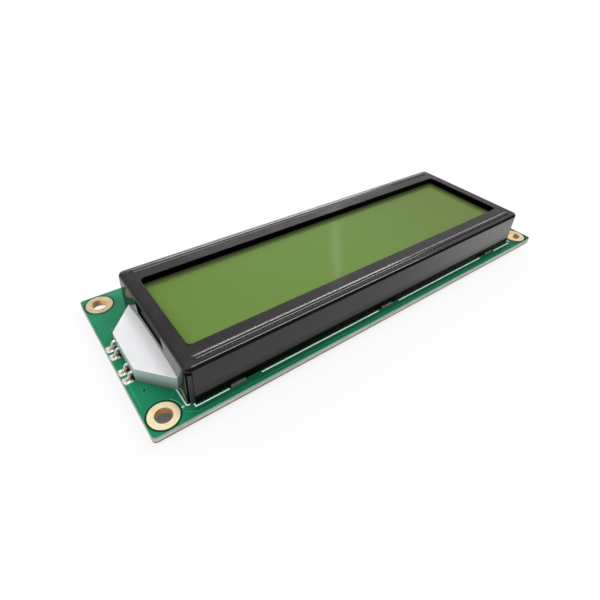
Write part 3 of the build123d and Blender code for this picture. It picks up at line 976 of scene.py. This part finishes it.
def far_print_lines():
    """Printed lines along the far and right feet of the bezel."""
    return [
        board_places((8.8, 38.1), (16.6, 38.1)),
        board_places((24.2, 38.1), (57.9, 38.1)),
        board_places((65.0, 38.1), (98.9, 38.1)),
        board_places((105.6, 38.1), (114.1, 38.1), (114.1, 30.0)),
        board_places((114.1, 12.0), (114.1, 2.2)),
    ]


def top_tracks():
    """Copper that shows through the coating at the left end and along the margins."""
    return [
        board_places((0.75, 6.9), (0.75, 14.0)),
        board_places((2.65, 10.8), (4.2, 12.3), (4.2, 13.6)),
        board_places((2.5, 31.7), (3.9, 30.3), (3.9, 28.8)),
        board_places((6.4, 6.6), (8.0, 8.2)),
        board_places((7.2, 2.0), (9.2, 0.75), (114.0, 0.75)),
        board_places((6.8, 42.6), (114.0, 42.6)),
    ]


def underside_tracks():
    """Tracks that fan out from the two chips to the rows of contacts."""
    lines = []
    for middle in (39.0, 83.0):
        for spread in range(-8, 9):
            chip_x, near_x = middle + 0.9 * spread, middle + 1.45 * spread
            lines.append(board_places((chip_x, 13.4 + 0.35 * abs(spread)), (near_x, 9.4), (near_x, 3.6)))
    for i in range(14):
        row_x, chip_x = 12.5 + 2.54 * i, 33.5 + 0.85 * i
        turn_y = 38.4 - 0.16 * (i % 3)
        lines.append(board_places((row_x, 40.2), (row_x, turn_y), (chip_x, 31.4), (chip_x, 29.6)))
    for i in range(6):
        y = 19.0 + 0.75 * i
        lines.append(board_places((48.6, y), (73.4, y)))
    return lines


def via_places():
    """Small plated through holes at the two ends of the board."""
    return board_places((2.65, 10.8), (2.5, 31.7), (116.4, 11.6), (118.6, 30.2))


def mounting_holes():
    """The centres of the four mounting holes, the near-left one first."""
    rows = (BOARD_LOW.y + MOUNT_INSET, BOARD_HIGH.y - MOUNT_INSET)
    return [(x, y) for y in rows for x in (BOARD_LOW.x + MOUNT_INSET, BOARD_HIGH.x - MOUNT_INSET)]


def interface_holes(look):
    """The centres of the sixteen interface holes along the far edge."""
    row = BOARD_HIGH.y - look.row_inset
    return [(BOARD_LOW.x + look.row_start + i * look.pitch, row) for i in range(16)]


class DISPLAY_OT_bezel(bpy.types.Operator):
    """Builds the pressed bezel with smooth bends, beads, slots and twisted tabs."""

    bl_idname = "display.bezel"
    bl_label = "Bezel"

    def execute(self, context):
        look = context.scene.display_bezel
        bm = bmesh.new()
        self.add_shell(bm, look)
        mesh = bpy.data.meshes.new("bezel_shell")
        bmesh.ops.recalc_face_normals(bm, faces=bm.faces)
        bm.to_mesh(mesh)
        bm.free()
        mesh = cut_boxes("bezel", mesh, self.openings(look))
        bm = bmesh.new()
        bm.from_mesh(mesh)
        self.bow_left_wall(bm, look)
        self.add_corner_flaps(bm, look)
        for side in (-1, 1):
            self.add_bead(bm, look, SCREEN_Y + side * (look.width / 2 - look.bead_inset))
        for side in (-1, 1):
            for x in TAB_PLACES:
                self.add_tab(bm, look, x, SCREEN_Y + side * (look.width - look.sheet) / 2)
                self.add_tab_foot(bm, look, x, side)
        add_object("pressed_bezel", bm, bezel_paint_finish(look), radians(40), ("bezel",))
        return {"FINISHED"}

    def add_shell(self, bm, look):
        """The folded sheet as one closed skin: outside, window lip and inside."""
        half_y = look.width / 2
        top = BOARD_TOP + look.height
        hold = 0.03 * MM
        least_radius = 0.08 * MM
        levels = []

        def outer(inset, z):
            radius = max(look.corner - inset, least_radius)
            levels.append((BEZEL_HALF - inset, half_y - inset, radius, z))

        def inner(outset, z):
            radius = look.window_corner + outset
            levels.append((look.window_length / 2 + outset, look.window_width / 2 + outset, radius, z))

        outer(0.0, BOARD_TOP)
        outer(0.0, top - look.bend - hold)
        for i in range(look.bend_steps + 1):
            turn = pi / 2 * i / look.bend_steps
            outer(look.bend * (1 - cos(turn)), top - look.bend + look.bend * sin(turn))
        outer(look.bend + hold, top)
        inner(look.window_rim + hold, top)
        rim_steps = 6
        for i in range(rim_steps + 1):
            turn = pi / 2 * i / rim_steps
            inner(look.window_rim * (1 - sin(turn)), top - look.window_rim * (1 - cos(turn)))
        inner(0.0, FILM_HIGH.z)
        inner(look.sheet, FILM_HIGH.z)
        under = top - look.sheet
        inner(look.sheet, under)
        reach = look.bend - look.sheet
        inside_steps = 4
        for i in range(inside_steps, -1, -1):
            turn = pi / 2 * i / inside_steps
            outer(look.sheet + reach * (1 - cos(turn)), under - reach + reach * sin(turn))
        outer(look.sheet, BOARD_TOP)
        outlines = [rounded_rectangle(*level, look.corner_steps, SCREEN_Y) for level in levels]
        add_skin(bm, outlines, close_loop=True)

    def openings(self, look):
        """Boxes for the open corners, the side slot and the tongue's opening."""
        half_y = look.width / 2
        top = BOARD_TOP + look.height
        past = 1.0 * MM
        low = BOARD_TOP - past
        boxes = []
        for sx in (-1, 1):
            for sy in (-1, 1):
                xs = sorted((sx * (BEZEL_HALF + past), sx * (BEZEL_HALF - look.open_length)))
                ys = sorted((SCREEN_Y + sy * (half_y + past), SCREEN_Y + sy * (half_y - look.open_width)))
                boxes.append(((xs[0], ys[0], low), (xs[1], ys[1], top - look.open_inset)))
        left, right = -BEZEL_HALF - past, -BEZEL_HALF + 1.4 * look.sheet
        slot_top = top - look.slot_inset
        for reach, bottom, ceiling in (
            (look.slot_length / 2, slot_top - look.slot_height, slot_top),
            (look.mouth_length / 2, low, BOARD_TOP + look.mouth_height),
        ):
            boxes.append(((left, SCREEN_Y - reach, bottom), (right, SCREEN_Y + reach, ceiling)))
        return boxes

    def bow_left_wall(self, bm, look):
        """Bows the strip between the left wall's slot and the tongue's opening inward."""
        top = BOARD_TOP + look.height - look.bend
        drop = look.height - look.bend - look.mouth_height
        middle, half_bow = SCREEN_Y - 1.5 * MM, 13.0 * MM
        spacing = 1.6 * MM
        bmesh.ops.triangulate(bm, faces=bm.faces)
        for i in range(-8, 9):
            geometry = [*bm.verts, *bm.edges, *bm.faces]
            place = (0.0, SCREEN_Y + i * spacing, 0.0)
            bmesh.ops.bisect_plane(bm, geom=geometry, plane_co=place, plane_no=(0.0, 1.0, 0.0))
        for vert in bm.verts:
            if vert.co.x < -BEZEL_HALF + 1.5 * look.sheet and vert.co.z < top:
                share = max(0.0, 1 - (abs(vert.co.y - middle) / half_bow) ** 3)
                vert.co.x += look.wall_bow * share * min(1.0, (top - vert.co.z) / drop)

    def add_corner_flaps(self, bm, look):
        """The curled edges of the end walls that close each open corner from inside."""
        half_x = BEZEL_HALF - look.flap_setback
        half_y = look.width / 2 - look.flap_setback
        radius = look.corner - look.flap_setback
        top = BOARD_TOP + look.height - 0.8 * MM
        steps, start, sweep = 16, -8, 106
        outside, inside = radius, radius - look.flap_thickness
        for sx, sy in ((1, 1), (-1, 1), (-1, -1), (1, -1)):
            outlines = []
            for i in range(steps + 1):
                turn = radians(start + sweep * i / steps)
                outline = []
                for reach, z in ((outside, BOARD_TOP), (outside, top), (inside, top), (inside, BOARD_TOP)):
                    x, y = on_circle((half_x - radius, half_y - radius), reach, turn)
                    outline.append((sx * x, SCREEN_Y + sy * y, z))
                outlines.append(outline)
            add_skin(bm, outlines, cap=True)

    def add_bead(self, bm, look, y):
        """A long stiffening bead with round ends that flows out of the flat top."""
        top = BOARD_TOP + look.height
        reach = BEZEL_HALF - look.bead_end
        crown, foot = look.bead_crown, look.bead_foot
        end = sqrt((crown + foot) ** 2 - (crown + foot - look.bead_rise) ** 2)
        turn = asin(end / (crown + foot))
        crown_steps, foot_steps, end_steps = 10, 5, 24
        profile = []
        for i in range(crown_steps + 1):
            angle = turn * i / crown_steps
            profile.append((crown * sin(angle), look.bead_rise - crown * (1 - cos(angle))))
        for i in range(1, foot_steps + 1):
            angle = turn * (1 - i / foot_steps)
            profile.append((end - foot * sin(angle), foot - foot * cos(angle)))
        profile.append((end, -0.1 * MM))
        outlines = []
        for distance, height in profile:
            distance = max(distance, 0.004 * MM)
            outline = []
            for middle, start in ((reach, -pi / 2), (-reach, pi / 2)):
                for i in range(end_steps + 1):
                    place = on_circle((middle, y), distance, start + pi * i / end_steps)
                    outline.append((*place, top + height))
            outlines.append(outline)
        add_skin(bm, outlines, cap=True)

    def add_tab(self, bm, look, x, y):
        """A tab through the board, twisted against its underside."""
        half_x, half_y = look.tab_width / 2, look.sheet / 2
        steps = 8
        levels = [(BOARD_TOP + 0.6 * MM, 0.0), (BOARD_BOTTOM, 0.0)]
        for i in range(1, steps + 1):
            levels.append((BOARD_BOTTOM - look.tab_twist_height * i / steps, look.tab_twist * i / steps))
        levels.append((BEZEL_LOW.z, look.tab_twist))
        corners = [Vector((sx * half_x, sy * half_y)) for sx, sy in ((1, 1), (-1, 1), (-1, -1), (1, -1))]
        outlines = []
        for z, angle in levels:
            turn = Matrix.Rotation(radians(angle), 2)
            turned = [turn @ corner for corner in corners]
            outlines.append([(x + c.x, y + c.y, z) for c in turned])
        add_skin(bm, outlines, cap=True)

    def add_tab_foot(self, bm, look, x, side):
        """The low foot beside a tab, where the paint is scuffed."""
        half, y = look.tab_width / 2 - 0.05 * MM, SCREEN_Y + side * (look.width / 2 + 0.22 * MM)
        add_ribbon(bm, ((x - half, y), (x + half, y)), 0.5 * MM, BOARD_TOP, BOARD_TOP + 0.3 * MM)


class DISPLAY_OT_screen(bpy.types.Operator):
    """Gives the panel's films, glasses and contact strips their finishes."""

    bl_idname = "display.screen"
    bl_label = "Screen"

    def execute(self, context):
        look = context.scene.display_screen
        dress("front_polariser", front_film_finish(look, context.scene.display_bezel))
        glass = panel_glass_finish()
        dress("front_glass", glass)
        dress("rear_glass", glass)
        dress("rear_polariser", rear_film_finish())
        rubber = contact_rubber_finish(look)
        dress("near_contact_strip", rubber)
        dress("far_contact_strip", rubber)
        return {"FINISHED"}


class DISPLAY_OT_backlight(bpy.types.Operator):
    """Builds the backlight tray, its sheets, lamps, leads and solder."""

    bl_idname = "display.backlight"
    bl_label = "Backlight"

    def execute(self, context):
        look = context.scene.display_backlight
        softened("backlight_tray", "moulded_tray", look.tray_edge, tray_finish(look))
        film = white_film_finish()
        dress("reflector_sheet", film)
        dress("diffuser_sheet", film)
        dress("light_guide", clear_acrylic_finish())
        epoxy = lamp_epoxy_finish()
        softened("near_lamp", "near_side_lamp", 0.12 * MM, epoxy)
        softened("far_lamp", "far_side_lamp", 0.12 * MM, epoxy)
        dress("lamp_pads", gold_finish(context.scene.display_board))
        self.add_leads(look)
        return {"FINISHED"}

    def add_leads(self, look):
        """Bent lamp leads, and the solder that holds each one on its pad."""
        tin = tinned_finish("tinned_lead", look.lead_colour, 0.2, 0.7)
        solder = tinned_finish("solder", look.solder_colour, 0.16, 0.6)
        lamps = {"near_lamp_leads": "near_bent_leads", "far_lamp_leads": "far_bent_leads"}
        places = []
        for node, name in lamps.items():
            low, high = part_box(node)
            bm = bmesh.new()
            for y in (low.y + look.lead_width / 2, high.y - look.lead_width / 2):
                self.add_lead(bm, look, y, low.x)
                places.append(y)
            add_object(name, bm, tin, radians(50), (node,))
        bm = bmesh.new()
        for y in places:
            add_mound(bm, (PAD_LOW.x + look.solder_inset, y), SOLDER_SIZE, PAD_HIGH.z)
        add_object("solder_mounds", bm, solder, radians(60), ("lamp_solder_joints",))
        # Painted shade: dark flux mounds beside the joints stand partly for the shade under the leads.
        bm = bmesh.new()
        for y in places:
            place = (PAD_LOW.x + look.flux_and_shade_inset, y + 0.05 * MM)
            add_mound(bm, place, FLUX_AND_SHADE_SIZE, PAD_HIGH.z - 0.06 * MM)
        add_object("flux_and_shade_mounds", bm, flux_and_shade_finish(look), radians(60))

    def add_lead(self, bm, look, y, toe_x):
        """One lead: out of the tongue, over in a small arch, and down onto its pad."""
        foot = PAD_HIGH.z + look.lead_thickness / 2
        route = [(toe_x + x * MM, BOARD_TOP + z * MM) for x, z in LEAD_BENDS]
        route += [(toe_x + 0.45 * MM, foot + 0.08 * MM), (toe_x + 0.02 * MM, foot)]
        points = smooth_route(route, 4)
        section = rounded_section(look.lead_width, look.lead_thickness, 0.07 * MM)
        outlines = []
        for i, (x, z) in enumerate(points):
            before, after = points[max(i - 1, 0)], points[min(i + 1, len(points) - 1)]
            slope = atan2(after[1] - before[1], after[0] - before[0])
            outlines.append([(x - sin(slope) * v, y + u, z + cos(slope) * v) for u, v in section])
        add_skin(bm, outlines, cap=True)


def smooth_route(points, steps):
    """A smooth curve through points in a plane."""
    out = []
    for i in range(len(points) - 1):
        p0, p1 = points[max(i - 1, 0)], points[i]
        p2, p3 = points[i + 1], points[min(i + 2, len(points) - 1)]
        for k in range(steps):
            t = k / steps
            place = []
            for a, b, c, d in zip(p0, p1, p2, p3):
                second, third = 2 * a - 5 * b + 4 * c - d, 3 * b - a - 3 * c + d
                place.append(0.5 * (2 * b + (c - a) * t + second * t**2 + third * t**3))
            out.append(tuple(place))
    out.append(tuple(points[-1]))
    return out


def rounded_section(width, height, radius):
    """A small rectangle with cut corners, as a lead's section."""
    w, h = width / 2, height / 2
    return [
        (w, h - radius), (w - radius, h), (-w + radius, h), (-w, h - radius),
        (-w, -h + radius), (-w + radius, -h), (w - radius, -h), (w, -h + radius),
    ]


class DISPLAY_OT_underside(bpy.types.Operator):
    """Builds the epoxy drops and the chips under the board."""

    bl_idname = "display.underside"
    bl_label = "Underside parts"

    def execute(self, context):
        look = context.scene.display_underside
        epoxy = epoxy_drop_finish(look)
        for node, name in (("controller_blob", "controller_drop"), ("driver_blob", "driver_drop")):
            self.add_drop(node, name, epoxy)
        resistors = chip_finish("resistor_body", look.resistor_colour, look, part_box("chip_resistors"))
        capacitors = chip_finish("capacitor_body", look.capacitor_colour, look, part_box("chip_capacitors"))
        softened("chip_resistors", "small_resistors", 0.06 * MM, resistors)
        softened("chip_capacitors", "small_capacitors", 0.08 * MM, capacitors)
        return {"FINISHED"}

    def add_drop(self, node, name, material):
        """A flowed drop of epoxy, a little uneven round its rim."""
        low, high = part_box(node)
        middle = (low + high) / 2
        reach, height = (high.x - low.x) / 2, high.z - low.z
        steps, layers = 72, 16
        outlines = []
        for layer in range(layers + 1):
            share = layer / layers
            spread = cos(share * pi / 2) ** 0.8
            z = high.z - height * sin(share * pi / 2)
            outline = []
            for i in range(steps):
                turn = 2 * pi * i / steps
                uneven = 1 - 0.012 * (1 + sin(3 * turn + 0.7) + 0.6 * sin(5 * turn + 2.1)) * (1 - share)
                outline.append((*on_circle(middle, max(reach * spread * uneven, 0.02 * MM), turn), z))
            outlines.append(outline)
        bm = bmesh.new()
        add_skin(bm, outlines, cap=True)
        add_object(name, bm, material, radians(60), (node,))


class DISPLAY_OT_stage(bpy.types.Operator):
    """Sets out the pale floor, the soft light and the camera."""

    bl_idname = "display.stage"
    bl_label = "Stage"

    def execute(self, context):
        look = context.scene.display_stage
        self.add_floor(look)
        self.set_sky(context, look)
        for name, place, size, brightness, seen_by_matt in STRIP_LAMPS:
            lamp = self.add_strip_light(name, place, size, brightness)
            lamp.visible_diffuse = seen_by_matt
        self.add_camera(context, look)
        context.scene.view_settings.view_transform = "Standard"
        return {"FINISHED"}

    def add_floor(self, look):
        """A wide floor, nearly white to the eye, with a painted shadow under the board; gloss sees it dark
        in front and brighter to the right.
        """
        reach = 6.0
        corners = ((-reach, -reach, 0), (reach, -reach, 0), (reach, reach, 0), (-reach, reach, 0))
        mesh = bpy.data.meshes.new("floor")
        mesh.from_pydata(corners, [], [(0, 1, 2, 3)])
        floor = bpy.data.objects.new("floor", mesh)
        bpy.context.scene.collection.objects.link(floor)
        material = bpy.data.materials.new("pale_floor")
        material.use_nodes = True
        kit = NodeKit(material.node_tree)
        kit.nodes.clear()
        matt = kit.nodes.new("ShaderNodeBsdfDiffuse")
        matt.inputs["Color"].default_value = (*look.floor_colour, 1.0)
        thin = kit.nodes.new("ShaderNodeBsdfDiffuse")
        share = 0.97 - look.floor_glow
        thin.inputs["Color"].default_value = (share, share, share, 1.0)
        out_x = kit.math("SUBTRACT", kit.off(kit.axis("X")), BOARD_HIGH.x)
        out_y = kit.math("SUBTRACT", kit.off(kit.axis("Y")), BOARD_HIGH.y)
        # Painted shadow: the floor's white glow fades out under the board.
        unshadowed_floor = kit.span(kit.most(out_x, out_y), -3.0 * MM, -0.8 * MM, 0.10, 1.0)
        white = kit.glow("ShaderNodeEmission", kit.times(unshadowed_floor, look.floor_glow))
        both = kit.nodes.new("ShaderNodeAddShader")
        kit.links.new(thin.outputs[0], both.inputs[0])
        kit.links.new(white, both.inputs[1])
        lit = kit.span(kit.axis("X"), 0.0, 0.065, 0.72, 1.3)
        far_off = kit.span(kit.axis("Y"), -0.05, -0.029)
        mirrored = kit.glow("ShaderNodeEmission", kit.times(lit, far_off, unshadowed_floor))
        shown = kit.mix(kit.seen_ray("Is Camera Ray"), matt.outputs[0], both.outputs[0])
        shown = kit.mix(kit.seen_ray("Is Glossy Ray", "Is Transmission Ray"), shown, mirrored)
        kit.links.new(shown, kit.nodes.new("ShaderNodeOutputMaterial").inputs["Surface"])
        mesh.materials.append(material)

    def set_sky(self, context, look):
        """Soft light that is stronger overhead; the eye sees white, and gloss the room's dark near side."""
        world = bpy.data.worlds.new("soft_sky")
        context.scene.world = world
        world.use_nodes = True
        kit = NodeKit(world.node_tree)
        kit.nodes.clear()
        split = kit.nodes.new("ShaderNodeSeparateXYZ")
        kit.links.new(kit.nodes.new("ShaderNodeTexCoord").outputs["Generated"], split.inputs["Vector"])
        x, y, z = (split.outputs[name] for name in "XYZ")
        rise = kit.span(z, 0.1, 0.9, look.around, look.overhead)
        leftward = kit.math("SUBTRACT", kit.times(y, 0.6), kit.times(x, 0.7))
        light = kit.glow("ShaderNodeBackground", kit.times(rise, kit.span(leftward, -0.7, 0.7, 0.45, 1.5)))
        height = kit.most(z, 0.01)
        lean = kit.math("DIVIDE", kit.times(y, -1.0), height)
        sideways = kit.math("DIVIDE", x, height)
        room = kit.span(lean, 0.62, 0.9, look.mirrored_white, 0.0)
        corner = kit.times(kit.span(sideways, 0.85, 0.15), kit.span(lean, -0.75, -1.0))
        corner = kit.span(corner, 0.0, 1.0, 1.0, 0.56, smooth=False)
        room = kit.times(room, corner, kit.span(sideways, 1.15, 2.0, 1.0, 0.68))
        room = kit.math("ADD", room, kit.times(self.mirrored_post(kit, lean, sideways), look.post_white))
        room = kit.glow("ShaderNodeBackground", room)
        white = kit.glow("ShaderNodeBackground", 1.0)
        shown = kit.mix(kit.seen_ray("Is Glossy Ray", "Is Transmission Ray"), light, room)
        shown = kit.mix(kit.seen_ray("Is Camera Ray"), shown, white)
        kit.links.new(shown, kit.nodes.new("ShaderNodeOutputWorld").inputs["Surface"])

    def mirrored_post(self, kit, lean, sideways):
        """1 on a tall pale post at the room's far side, which the screen mirrors faintly."""
        tilt, place, half_width, core = 0.82, 0.186, 0.034, 0.004
        from_middle = kit.off(kit.math("ADD", sideways, kit.times(lean, tilt)), place)
        foot = kit.span(lean, -0.89, -0.95)
        fading = kit.span(lean, -1.3, -1.0, 0.45, 1.0)
        return kit.times(kit.span(from_middle, half_width, core), foot, fading)

    def add_strip_light(self, name, place, size, brightness):
        """A long soft lamp that draws the bright lines along the bends and beads."""
        data = bpy.data.lights.new(name, "AREA")
        data.shape = "RECTANGLE"
        data.size, data.size_y = size
        data.energy = brightness * pi * size[0] * size[1]
        lamp = bpy.data.objects.new(name, data)
        bpy.context.scene.collection.objects.link(lamp)
        lamp.location = place
        across = Vector((1.0, 0.0, 0.0))
        back = Vector(place)
        back = (back - across * back.dot(across)).normalized()
        lamp.rotation_euler = Matrix((across, back.cross(across), back)).transposed().to_euler()
        lamp.visible_camera = False
        return lamp

    def add_camera(self, context, look):
        """The camera, where the photographer stood."""
        data = bpy.data.cameras.new("camera")
        data.sensor_width = 36.0
        data.lens = look.lens
        data.shift_x, data.shift_y = look.shift_x, look.shift_y
        data.clip_start, data.clip_end = 0.005, 40.0
        camera = bpy.data.objects.new("camera", data)
        context.scene.collection.objects.link(camera)
        rows = zip(CAMERA_RIGHT, CAMERA_UP, CAMERA_BACK, CAMERA_PLACE)
        camera.matrix_world = Matrix((*rows, (0.0, 0.0, 0.0, 1.0)))
        context.scene.camera = camera


class DISPLAY_PT_module(bpy.types.Panel):
    """Lists the steps that build the display module."""

    bl_label = "Display Module"
    bl_idname = "DISPLAY_PT_module"
    bl_space_type = "VIEW_3D"
    bl_region_type = "UI"
    bl_category = "Display Module"

    def draw(self, context):
        for step in STEPS:
            self.layout.operator(step.bl_idname)
        for key in LOOKS:
            box = self.layout.box()
            group = getattr(context.scene, key)
            for name in group.__annotations__:
                box.prop(group, name)


LOOKS = {
    "display_board": BoardLook,
    "display_bezel": BezelLook,
    "display_screen": ScreenLook,
    "display_backlight": BacklightLook,
    "display_underside": UndersideLook,
    "display_stage": StageLook,
}
STEPS = (
    DISPLAY_OT_board,
    DISPLAY_OT_bezel,
    DISPLAY_OT_screen,
    DISPLAY_OT_backlight,
    DISPLAY_OT_underside,
    DISPLAY_OT_stage,
)


def register():
    """Registers the settings, the steps and the panel."""
    for key, group in LOOKS.items():
        bpy.utils.register_class(group)
        setattr(bpy.types.Scene, key, PointerProperty(type=group))
    for step in (*STEPS, DISPLAY_PT_module):
        bpy.utils.register_class(step)


def unregister():
    """Removes what register added."""
    for step in (DISPLAY_PT_module, *reversed(STEPS)):
        bpy.utils.unregister_class(step)
    for key, group in LOOKS.items():
        delattr(bpy.types.Scene, key)
        bpy.utils.unregister_class(group)


def main():
    """Builds everything in order."""
    register()
    bpy.ops.display.board()
    bpy.ops.display.bezel()
    bpy.ops.display.screen()
    bpy.ops.display.backlight()
    bpy.ops.display.underside()
    bpy.ops.display.stage()


if __name__ == "__main__":
    main()
